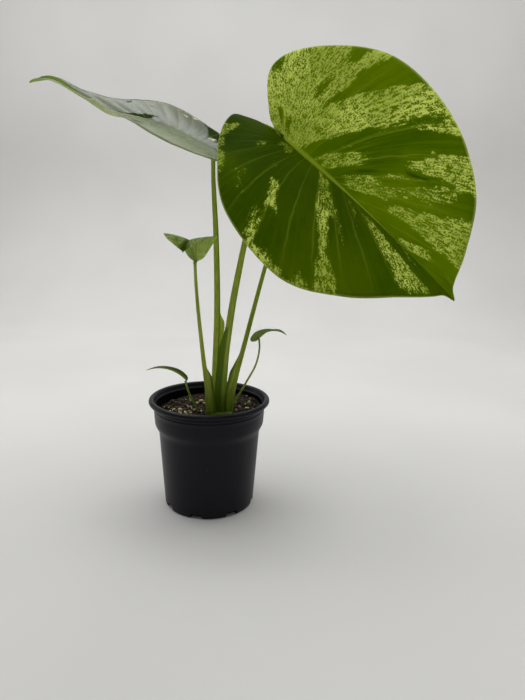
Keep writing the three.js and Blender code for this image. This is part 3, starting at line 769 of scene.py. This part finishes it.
def stalk_material():
    """Green stalk with fine lengthwise streaks, darker green low down, and painted shade on its shaded
    sides and by its sheath's wings.
    """
    material, tree, out = new_material("stalk green")
    place = object_place(tree)
    height = add(tree, "SeparateXYZ", {0: place}).outputs[2]
    streaks = grain(tree, place, 900.0, 3.0, stretch=(1, 1, 0.02))
    clouds = grain(tree, place, 60.0, 2.0, stretch=(1, 1, 0.3))
    low = blend(tree, ramp(tree, streaks, 0.35, 0.7), colour(128, 142, 36), colour(158, 166, 84))
    high = blend(tree, ramp(tree, streaks, 0.35, 0.7), colour(116, 134, 28), colour(146, 158, 66))
    green = blend(tree, ramp(tree, height, 0.1, 0.22), low, high)
    green = blend(tree, ramp(tree, clouds, 0.5, 0.75, 0.0, 0.6), green, colour(84, 112, 0))
    # Painted shade: the corners' painted shade turns the stalk a darker green on its shaded sides.
    shade = attribute(tree, "painted_shade").outputs["Fac"]
    green = blend(tree, shade, green, colour(52, 82, 0))
    foot = ramp(tree, height, 0.088, 0.125, 0.75, 0.0)
    green = blend(tree, foot, green, colour(66, 96, 0))
    normal = relief(tree, streaks, 0.00012, 0.5)
    rough = ramp(tree, clouds, 0.3, 0.7, 0.42, 0.52)
    surface = add(tree, "BsdfPrincipled", {"Base Color": green, "Roughness": rough, "Normal": normal})
    surface.inputs["Specular IOR Level"].default_value = 0.2
    through = add(tree, "BsdfTranslucent", {"Color": lit_through(tree, green), "Normal": normal})
    both = add(tree, "MixShader", {0: 0.42, 1: surface.outputs[0], 2: through.outputs[0]})
    tree.links.new(both.outputs[0], out.inputs[0])
    return material


# Stem base

CROWN = dict(x=9.8, y=-13.2, across=12.4, deep=8.2, top=89.3, foot=52, taper=0.55)
CROWN_RINGS = 9
DOME_START = 0.85


def crown():
    """The short stem, with the ring scars of old leaves, domed over between the stalks."""
    def place(u, v):
        turn = 2 * math.pi * v
        if u <= DOME_START:
            share = u / DOME_START
            wide = CROWN["taper"] + (1 - CROWN["taper"]) * math.sin(share * math.pi / 2)
            rings = 0.28 * abs(math.sin(math.pi * CROWN_RINGS * share)) ** 0.5
            rough = 0.35 * noise.noise(Vector((3 * math.cos(turn), 3 * math.sin(turn), 9 * share)))
            reach = wide - 0.03 + (rings + rough) * 0.05
            height = CROWN["foot"] + (CROWN["top"] - CROWN["foot"]) * share
        else:
            share = (u - DOME_START) / (1 - DOME_START)
            reach = 0.97 * math.cos(share * math.pi / 2)
            height = CROWN["top"] + 0.6 * math.sin(share * math.pi / 2)
        x = CROWN["x"] + CROWN["across"] * reach * math.cos(turn)
        return Vector((x, CROWN["y"] + CROWN["deep"] * reach * math.sin(turn), height))

    return close_tube(skin(120, 64, place))


def crown_material():
    """Olive stem with brownish ring scars and a little soil on it."""
    material, tree, out = new_material("stem green")
    place = object_place(tree)
    rings = grain(tree, place, 120.0, 3.0, stretch=(0.3, 0.3, 6))
    dirt = grain(tree, place, 300.0, 4.0)
    green = blend(tree, ramp(tree, rings, 0.4, 0.65), colour(104, 124, 24), colour(60, 78, 8))
    green = blend(tree, ramp(tree, dirt, 0.58, 0.66, 0.0, 0.8), green, colour(52, 38, 24))
    normal = relief(tree, maths(tree, "ADD", rings, dirt), 0.0004, 0.7)
    surface = add(tree, "BsdfPrincipled", {"Base Color": green, "Roughness": 0.6, "Normal": normal})
    tree.links.new(surface.outputs[0], out.inputs[0])
    return material


# The pot

POT_HEIGHT = 98.8
BEAD_RADIUS = 2.45
BEAD_MIDDLE = 51.55
NOTCH_COUNT = 8
NOTCH_TURN_DEG = 34.5
NOTCH_SIZE = (11, 11, 8.4)
NOTCH_ROUND = 2.2
FOOT_RADIUS = 41


def pot_profile():
    """The pot's section from the axis under the floor, round the rim, and back to the axis inside."""
    outside = [
        (0, 0), (38.6, 0), (39.4, 0.1), (40.2, 0.6), (40.7, 1.3), (41, 5), (42.35, 25), (43.7, 45),
        (45.1, 65.8), (45.3, 68), (45.9, 70.3), (47, 72.4), (47.9, 74.2), (48.5, 75.6), (48.8, 76.8),
        (49.05, 80), (49.4, 85.8), (49.42, 88.6), (49.62, 88.8), (49.62, 89.5), (49.44, 89.7),
        (49.48, 91.6), (49.7, 91.8), (49.7, 92.5), (49.5, 92.7), (49.55, 93.9), (49.75, 94.3),
    ]
    bead = []
    for degrees in range(-50, 181, 11):
        turn = math.radians(degrees)
        x = BEAD_MIDDLE + BEAD_RADIUS * math.cos(turn)
        bead.append((x, POT_HEIGHT - BEAD_RADIUS + BEAD_RADIUS * math.sin(turn)))
    inside = [
        (48.2, 94.6), (47.8, 94.1), (47.75, 93.5), (48.15, 93.1), (48.2, 85.8), (47.5, 77.4),
        (43.9, 70.3), (43.9, 65.8), (39.8, 5), (39.6, 2.2), (39.2, 1.4), (0, 1.4),
    ]
    return outside + bead + inside


def object_from(name, bm):
    """A plain object with the bmesh as its mesh, which uses the bmesh up."""
    mesh = bpy.data.meshes.new(name)
    bm.to_mesh(mesh)
    bm.free()
    made = bpy.data.objects.new(name, mesh)
    bpy.context.scene.collection.objects.link(made)
    return made


def pot():
    """The profile spun into a pot, with the drainage notches cut round its foot."""
    bm = bmesh.new()
    verts = [bm.verts.new((radius, 0, height)) for radius, height in pot_profile()]
    edges = [bm.edges.new(pair) for pair in zip(verts, verts[1:])]
    bmesh.ops.spin(bm, geom=verts + edges, cent=(0, 0, 0), axis=(0, 0, 1), angle=2 * math.pi,
                   steps=144, use_merge=True)
    bmesh.ops.remove_doubles(bm, verts=bm.verts, dist=1e-3)
    bmesh.ops.recalc_face_normals(bm, faces=bm.faces)
    body = object_from("pot body", bm)
    cutter = bmesh.new()
    for i in range(NOTCH_COUNT):
        turn = math.radians(NOTCH_TURN_DEG + 360 / NOTCH_COUNT * i) - math.pi / 2
        block = bmesh.ops.create_cube(cutter, size=1)["verts"]
        bmesh.ops.scale(cutter, vec=NOTCH_SIZE, verts=block)
        edges = {edge for vert in block for edge in vert.link_edges}
        top = [edge for edge in edges if all(vert.co.z > 0 for vert in edge.verts)]
        along = [edge for edge in top if abs(edge.verts[0].co.y - edge.verts[1].co.y) < TINY]
        rounded = bmesh.ops.bevel(cutter, geom=along, offset=NOTCH_ROUND, offset_type="OFFSET",
                                  affect="EDGES", segments=5, profile=0.5, material=-1)
        block = list({*(v for v in block if v.is_valid), *rounded["verts"]})
        bmesh.ops.translate(cutter, vec=(FOOT_RADIUS, 0, 0), verts=block)
        bmesh.ops.rotate(cutter, cent=(0, 0, 0), matrix=Matrix.Rotation(turn, 3, "Z"), verts=block)
    blocks = object_from("notch blocks", cutter)
    cut = body.modifiers.new("notches", "BOOLEAN")
    cut.operation = "DIFFERENCE"
    cut.solver = "EXACT"
    cut.object = blocks
    view = bpy.context.evaluated_depsgraph_get()
    made = bmesh.new()
    made.from_mesh(body.evaluated_get(view).to_mesh())
    for spare in (body, blocks):
        bpy.data.objects.remove(spare)
    return made


# Place of the step inside the rim that gets a painted highlight, in metres as the shader sees it
LEDGE_HEIGHT = 0.0938
LEDGE_REACH = 0.0483


def pot_material():
    """Satin black plastic, slightly blue, with faint upright flow marks, scuffs and a painted highlight
    along the step inside the rim.
    """
    material, tree, out = new_material("pot black")
    place = object_place(tree)
    flow = grain(tree, place, 60.0, 3.0, stretch=(1, 1, 0.12))
    fine = grain(tree, place, 2600.0, 2.0)
    scuffs = grain(tree, place, 260.0, 6.0, stretch=(1, 1, 0.35), distortion=1.2)
    black = blend(tree, ramp(tree, flow, 0.3, 0.7), colour(10, 10, 20), colour(14, 15, 26))
    worn = ramp(tree, scuffs, 0.66, 0.78, 0.0, 0.3)
    black = blend(tree, worn, black, colour(74, 74, 78))
    spot = add(tree, "SeparateXYZ", {0: place})
    # Painted highlight: a paler line on the step inside the rim, where light from above catches it.
    level = maths(tree, "ABSOLUTE", maths(tree, "SUBTRACT", spot.outputs[2], LEDGE_HEIGHT))
    flat = add(tree, "CombineXYZ", {0: spot.outputs[0], 1: spot.outputs[1]}).outputs[0]
    away = add(tree, "VectorMath", {0: flat}, operation="LENGTH").outputs["Value"]
    inner = ramp(tree, away, LEDGE_REACH, LEDGE_REACH + 0.0002, 1.0, 0.0)
    painted_ledge_highlight = maths(tree, "MULTIPLY", ramp(tree, level, 0.0003, 0.0009, 0.6, 0.0), inner)
    black = blend(tree, painted_ledge_highlight, black, colour(96, 98, 104))
    dulled = maths(tree, "MULTIPLY", worn, 0.5)
    rough = maths(tree, "ADD", ramp(tree, flow, 0.3, 0.7, 0.36, 0.44), dulled)
    bumps = maths(tree, "ADD", fine, maths(tree, "MULTIPLY", flow, 2.0))
    normal = relief(tree, bumps, 0.00005, 0.5)
    surface = add(tree, "BsdfPrincipled", {"Base Color": black, "Roughness": rough, "Normal": normal})
    surface.inputs["Specular IOR Level"].default_value = 0.2
    tree.links.new(surface.outputs[0], out.inputs[0])
    return material


# Soil

SOIL_LEVEL = 87
SOIL_REACH = 47.3
# Radius and height of the soil's side and foot, from the top's edge inwards
SOIL_WALL = [
    (47.3, None), (46.9, 84), (46.4, 78.2), (43.6, 70.3), (43, 65.8), (38.5, 5.5), (34.5, 1.7), (0, 1.7),
]
SOIL_TOP_SHARE = 0.86
YOUNG_FEET = ((19.5, -2), (-10.8, -2))
YOUNG_ROOM = 1.3
BATCH = 80
COIR_SIDES = 5
COIR_STEPS = 9
COIR_LIFT = 0.9
COIR_ARCH = 0.8


def soil_level(x, y):
    """The soil's wavy level, as in the solid."""
    waves = math.sin(0.31 * x + 1.3) * math.cos(0.27 * y - 0.4) + 0.6 * math.sin(0.53 * x - 0.47 * y)
    return SOIL_LEVEL + 0.05 * x + 0.03 * y + 0.9 * waves


def soil_top(x, y):
    """The soil's surface with its crumbs."""
    spot = Vector((x, y, 0))
    coarse = noise.noise(spot * 0.35) * 0.9
    fine = abs(noise.noise(spot * 0.9)) * 0.9 + noise.noise(spot * 2.1) * 0.3
    return soil_level(x, y) + coarse + fine - 0.6


def soil():
    """The whole plug of soil: a crumbly top, and plain sides and foot inside the pot."""
    def place(u, v):
        turn = 2 * math.pi * v
        if u <= SOIL_TOP_SHARE:
            radius = SOIL_REACH * u / SOIL_TOP_SHARE
            x, y = radius * math.cos(turn), radius * math.sin(turn)
            return Vector((x, y, soil_top(x, y)))
        share = (u - SOIL_TOP_SHARE) / (1 - SOIL_TOP_SHARE) * (len(SOIL_WALL) - 1)
        low = min(int(share), len(SOIL_WALL) - 2)
        edge = soil_top(SOIL_REACH * math.cos(turn), SOIL_REACH * math.sin(turn))
        (radius_a, z_a), (radius_b, z_b) = SOIL_WALL[low], SOIL_WALL[low + 1]
        z_a = edge if z_a is None else z_a
        radius = radius_a + (radius_b - radius_a) * (share - low)
        height = z_a + (z_b - z_a) * (share - low)
        return Vector((radius * math.cos(turn), radius * math.sin(turn), height))

    return close_tube(skin(150, 220, place))


def soil_material():
    """Dark damp peat and coir with browner crumbs."""
    material, tree, out = new_material("potting mix")
    place = object_place(tree)
    crumbs = grain(tree, place, 700.0, 6.0)
    patches = grain(tree, place, 90.0, 3.0)
    brown = blend(tree, ramp(tree, crumbs, 0.38, 0.62), colour(11, 9, 4), colour(46, 36, 18))
    brown = blend(tree, ramp(tree, patches, 0.5, 0.68, 0.0, 0.6), brown, colour(20, 16, 7))
    normal = relief(tree, crumbs, 0.0014, 1.0)
    surface = add(tree, "BsdfPrincipled", {"Base Color": brown, "Roughness": 0.92, "Normal": normal})
    tree.links.new(surface.outputs[0], out.inputs[0])
    return material


def by_stem(x, y, room):
    """Whether a place on the soil is taken by the stem base or a young leaf's stalk."""
    across, deep = CROWN["across"] + room, CROWN["deep"] + room
    by_crown = math.hypot((x - CROWN["x"]) / across, (y - CROWN["y"]) / deep) < 1
    to_young = min(math.hypot(x - foot_x, y - foot_y) for foot_x, foot_y in YOUNG_FEET)
    return by_crown or to_young < YOUNG_ROOM + room


def lump(bm, place, size, shape, faces, rough, source):
    """One irregular grain at a place: a small sphere roughened, stretched and turned at random."""
    made = bmesh.ops.create_icosphere(bm, subdivisions=faces, radius=1.0)["verts"]
    shift = Vector([source.uniform(-50, 50) for _ in range(3)])
    turn = Matrix.Rotation(source.uniform(0, math.tau), 3, "Z")
    tilt = Matrix.Rotation(source.uniform(-0.7, 0.7), 3, "X")
    roll = Matrix.Rotation(source.uniform(-0.7, 0.7), 3, "Y")
    turned = turn @ tilt @ roll @ Matrix.Diagonal([size * side for side in shape])
    for vert in made:
        vert.co = Vector(place) + turned @ (vert.co * (1 + rough * noise.noise(vert.co * 1.6 + shift)))


def strew(seed, count, reach, sizes, shape, faces, rough, sunk, spots=()):
    """Grains laid on the soil: at the given spots first, then at random over it.

    They are made in batches, because one large bmesh gets slow to add to.
    """
    source = random.Random(seed)
    whole = bmesh.new()
    spots = list(spots)
    while len(spots) < count:
        radius, turn = reach * math.sqrt(source.random()), source.uniform(0, math.tau)
        x, y = radius * math.cos(turn), radius * math.sin(turn)
        if not by_stem(x, y, 1.5):
            spots.append((x, y, source.uniform(*sizes)))
    for start in range(0, len(spots), BATCH):
        bm = bmesh.new()
        for x, y, size in spots[start:start + BATCH]:
            stretch = [side * source.uniform(0.75, 1.25) for side in shape]
            height = soil_top(x, y) + size * shape[2] * source.uniform(*sunk)
            room = SOIL_REACH - 0.6 - size * max(shape)
            pull = min(1.0, room / max(math.hypot(x, y), TINY))
            lump(bm, (x * pull, y * pull, height), size, stretch, faces, rough, source)
        batch = bpy.data.meshes.new("batch")
        bm.to_mesh(batch)
        bm.free()
        whole.from_mesh(batch)
        bpy.data.meshes.remove(batch)
    return whole


def fibres(seed, count):
    """Coir strands that lie on the soil in loose curves."""
    source = random.Random(seed)
    whole = bmesh.new()
    for _ in range(count):
        radius, turn = 43 * math.sqrt(source.random()), source.uniform(0, math.tau)
        x, y = radius * math.cos(turn), radius * math.sin(turn)
        heading, curl = source.uniform(0, math.tau), source.uniform(-2.4, 2.4)
        length, thick = source.uniform(4, 11), source.uniform(0.12, 0.24)
        if by_stem(x, y, 3):
            continue
        circle = bmesh.ops.create_circle(whole, segments=COIR_SIDES, radius=thick, cap_ends=True)
        profile = circle["verts"]
        bmesh.ops.rotate(whole, matrix=Matrix.Rotation(math.pi / 2, 3, "Y"), verts=profile)
        bmesh.ops.rotate(whole, matrix=Matrix.Rotation(heading, 3, "Z"), verts=profile)
        bmesh.ops.translate(whole, vec=(x, y, soil_top(x, y) + COIR_LIFT), verts=profile)
        face = next(f for f in whole.faces if all(v in f.verts for v in profile))
        for step in range(COIR_STEPS):
            made = bmesh.ops.extrude_discrete_faces(whole, faces=[face])["faces"]
            face = made[0]
            spot = face.calc_center_median()
            heading += curl / COIR_STEPS
            ahead = Vector((math.cos(heading), math.sin(heading), 0)) * length / COIR_STEPS
            target = spot + ahead
            edge = math.hypot(target.x, target.y)
            if edge > 46 or by_stem(target.x, target.y, 0.8):
                ahead *= 0.15
                target = spot + ahead
            arch = COIR_ARCH * math.sin(math.pi * (step + 1) / COIR_STEPS)
            lift = soil_top(target.x, target.y) + COIR_LIFT + arch - spot.z
            bmesh.ops.translate(whole, vec=ahead + Vector((0, 0, 0.5 * lift)), verts=face.verts)
            bmesh.ops.rotate(whole, cent=face.calc_center_median(), verts=face.verts,
                             matrix=Matrix.Rotation(curl / COIR_STEPS, 3, "Z"))
    bmesh.ops.recalc_face_normals(whole, faces=whole.faces)
    return whole


def mineral_grain():
    """A shade that varies from grain to grain and inside each, and the fine height of its surface."""
    inputs = {"Place": "vector", "Scale": "value"}
    group, given, out = effect("mineral grain", inputs, {"Shade": "value", "Height": "value"})
    place, scale = given.outputs["Place"], given.outputs["Scale"]
    each = grain(group, place, scale, 1.0)
    inside = grain(group, place, maths(group, "MULTIPLY", scale, 6.0), 4.0)
    mixed = maths(group, "MULTIPLY", each, 0.65)
    mixed = maths(group, "ADD", mixed, maths(group, "MULTIPLY", inside, 0.35))
    group.links.new(mixed, out.inputs["Shade"])
    group.links.new(inside, out.inputs["Height"])
    return group


MINERAL_GRAIN = mineral_grain()


def grain_material(name, dark, light, roughness, scale, depth):
    """Rough mineral or bark between two colours, with its relief's depth in metres."""
    material, tree, out = new_material(name)
    grains = use(tree, MINERAL_GRAIN, {"Place": object_place(tree), "Scale": scale})
    shade = blend(tree, ramp(tree, grains["Shade"], 0.36, 0.64), dark, light)
    normal = relief(tree, grains["Height"], depth, 0.8)
    inputs = {"Base Color": shade, "Roughness": roughness, "Normal": normal}
    surface = add(tree, "BsdfPrincipled", inputs)
    tree.links.new(surface.outputs[0], out.inputs[0])
    return material


# Pale grains that catch the eye in the mix, as x, y and size
PERLITE_SPOTS = [
    (-42.5, 7.5, 1.1), (-38, 3, 1.3), (-34.5, 1.5, 1.7), (-32, -3, 1.9), (-28.5, -0.5, 1.6),
    (-26, -5.5, 2.0), (-23, -2, 1.7), (-21, -7, 1.8), (-18, -4, 1.4), (-16, -9.5, 1.8),
    (-13, -6, 1.5), (-30, -8, 1.7), (-25, -11, 1.8), (-19, -13, 1.4), (-35, -6.5, 1.5),
    (-9.9, 16.2, 2.8), (-13, 13, 1.7), (-6.5, 12.5, 1.6), (-19.3, 9.5, 1.2), (-25.7, 27.4, 1.3),
    (23.2, 12.6, 1.6), (29.3, 22.2, 1.2), (35.4, 10.6, 1.8), (33, -1.1, 1.9), (35.6, 27.4, 1.2),
    (27, 2, 1.4), (-33, 17, 1.2), (24.5, -5, 1.2),
]


# Stage, light and camera

CAMERA_PLACE = (0.0467, -0.4372, 0.2360)
CAMERA_PITCH_DEG = 12.04
CAMERA_ROLL_DEG = 1.34
CAMERA_LENS = 25.97


def camera():
    """The photo's point of view: a little above the pot's rim, tilted down and slightly rolled."""
    data = bpy.data.cameras.new("camera")
    data.lens = CAMERA_LENS
    data.sensor_width = 36
    data.clip_start = 0.01
    made = bpy.data.objects.new("camera", data)
    turn = Matrix.Rotation(math.radians(90 - CAMERA_PITCH_DEG), 4, "X")
    roll = Matrix.Rotation(math.radians(CAMERA_ROLL_DEG), 4, "Z")
    made.matrix_world = Matrix.Translation(CAMERA_PLACE) @ turn @ roll
    bpy.context.scene.collection.objects.link(made)
    bpy.context.scene.camera = made


def area_light(name, place, aim, size, power):
    """A white rectangle of light at a place, which faces its aim."""
    data = bpy.data.lights.new(name, "AREA")
    data.shape = "RECTANGLE"
    data.size, data.size_y = size
    data.energy = power
    made = bpy.data.objects.new(name, data)
    made.location = place
    made.rotation_euler = (Vector(aim) - Vector(place)).to_track_quat("-Z", "Y").to_euler()
    bpy.context.scene.collection.objects.link(made)


FLOOR_FRONT = -2.5
FLOOR_BACK = 0.82
SWEEP_RADIUS = 0.5
SWEEP_STEPS = 12
BACKDROP_TOP = 3.2
STAGE_WIDTH = 5.0


def stage():
    """A pale floor that sweeps up into a backdrop."""
    bm = bmesh.new()
    line = [(FLOOR_FRONT, 0), (FLOOR_BACK, 0)]
    for step in range(1, SWEEP_STEPS + 1):
        turn = math.pi / 2 * step / SWEEP_STEPS
        line.append((FLOOR_BACK + SWEEP_RADIUS * math.sin(turn), SWEEP_RADIUS * (1 - math.cos(turn))))
    line.append((FLOOR_BACK + SWEEP_RADIUS, BACKDROP_TOP))
    verts = [bm.verts.new((-STAGE_WIDTH / 2, y, z)) for y, z in line]
    edges = [bm.edges.new(pair) for pair in zip(verts, verts[1:])]
    made = bmesh.ops.extrude_edge_only(bm, edges=edges)["geom"]
    moved = [vert for vert in made if isinstance(vert, bmesh.types.BMVert)]
    bmesh.ops.translate(bm, vec=(STAGE_WIDTH, 0, 0), verts=moved)
    bmesh.ops.recalc_face_normals(bm, faces=bm.faces)
    floor = object_from("floor", bm)
    for polygon in floor.data.polygons:
        polygon.use_smooth = True
    material, tree, out = new_material("backdrop")
    place = object_place(tree)
    paper = grain(tree, place, 3.0, 2.0)
    pale = blend(tree, ramp(tree, paper, 0.3, 0.7), (0.66, 0.655, 0.64, 1), (0.7, 0.695, 0.68, 1))
    surface = add(tree, "BsdfPrincipled", {"Base Color": pale, "Roughness": 0.7})
    tree.links.new(surface.outputs[0], out.inputs[0])
    floor.data.materials.append(material)


def lighting():
    """Soft light from a large source above, one on the backdrop and a faint one from the left."""
    world = bpy.data.worlds.new("studio")
    world.use_nodes = True
    sky = world.node_tree.nodes["Background"]
    sky.inputs["Color"].default_value = (1.0, 0.995, 0.98, 1)
    sky.inputs["Strength"].default_value = 0.21
    bpy.context.scene.world = world
    area_light("top light", (0.0, 0.2, 1.3), (0.0, 0.08, 0), (2.3, 1.4), 18.3)
    area_light("backdrop light", (0.0, 0.9, 1.65), (0.0, 1.32, 0.9), (2.6, 0.4), 8.4)
    area_light("left light", (-1.3, 0.45, 0.5), (0.05, 0, 0.25), (0.5, 0.9), 1.2)
    view = bpy.context.scene.view_settings
    view.view_transform = "Standard"
    view.look = "None"


# The assembly

camera()
stage()
lighting()

SPECKLED = leaf_material(
    "speckled leaf", colour(40, 66, 0), colour(76, 98, 0), colour(198, 208, 104), colour(110, 128, 46),
    colour(122, 140, 24))
DARK_SPECKLED = leaf_material(
    "dark speckled leaf", colour(48, 68, 24), colour(84, 102, 38), colour(216, 218, 172),
    colour(152, 160, 100), colour(160, 168, 124), glow=0.4, shine=0.25, gloss=0.95)
YOUNG = leaf_material(
    "young leaf", colour(46, 72, 4), colour(88, 110, 28), colour(176, 188, 116), colour(140, 154, 84),
    colour(144, 162, 76), glow=0.5, gloss=0.25)
BLADE_MATERIALS = {
    "big": SPECKLED, "left": DARK_SPECKLED, "rear": DARK_SPECKLED, "small": YOUNG,
    "right_young": YOUNG, "left_young": YOUNG,
}
STALK = stalk_material()

for key, leaf in LEAVES.items():
    finish_piece(key + "_leaf", blade(leaf), BLADE_MATERIALS[key], "leaf", key + "_leaf_blade")
    finish_piece(key + "_petiole", stalk(leaf), STALK, "stalk", key + "_leaf_stalk")

finish_piece("crown", crown(), crown_material(), "stem", "stem_base")
finish_piece("nursery_pot", pot(), pot_material(), "pot_plastic", "pot")
finish_piece("potting_mix", soil(), soil_material(), "soil_mix", "soil")

BARK = grain_material("bark", colour(20, 16, 8), colour(76, 58, 30), 0.85, 150, 0.0006)
PERLITE = grain_material("perlite", colour(140, 128, 84), colour(214, 204, 164), 0.9, 120, 0.0005)
COIR = grain_material("coir", colour(44, 34, 18), colour(90, 70, 38), 0.8, 200, 0.0002)
bark_chips = strew(11, 420, reach=46, sizes=(1.0, 2.7), shape=(1.0, 0.62, 0.42), faces=2, rough=0.5,
                   sunk=(0.2, 0.8))
finish_piece("bark_chips", bark_chips, BARK, "soil_mix")
crumbs = strew(12, 1300, reach=46.5, sizes=(0.35, 0.95), shape=(1.0, 0.8, 0.7), faces=1, rough=0.4,
               sunk=(0.1, 0.9))
finish_piece("crumbs", crumbs, BARK, "soil_mix")
perlite = strew(13, 80, reach=45, sizes=(0.5, 1.4), shape=(1.0, 0.85, 0.8), faces=2, rough=0.45,
                sunk=(0.4, 0.9), spots=PERLITE_SPOTS)
finish_piece("perlite", perlite, PERLITE, "soil_mix")
finish_piece("coir_strands", fibres(14, 90), COIR, "soil_mix")
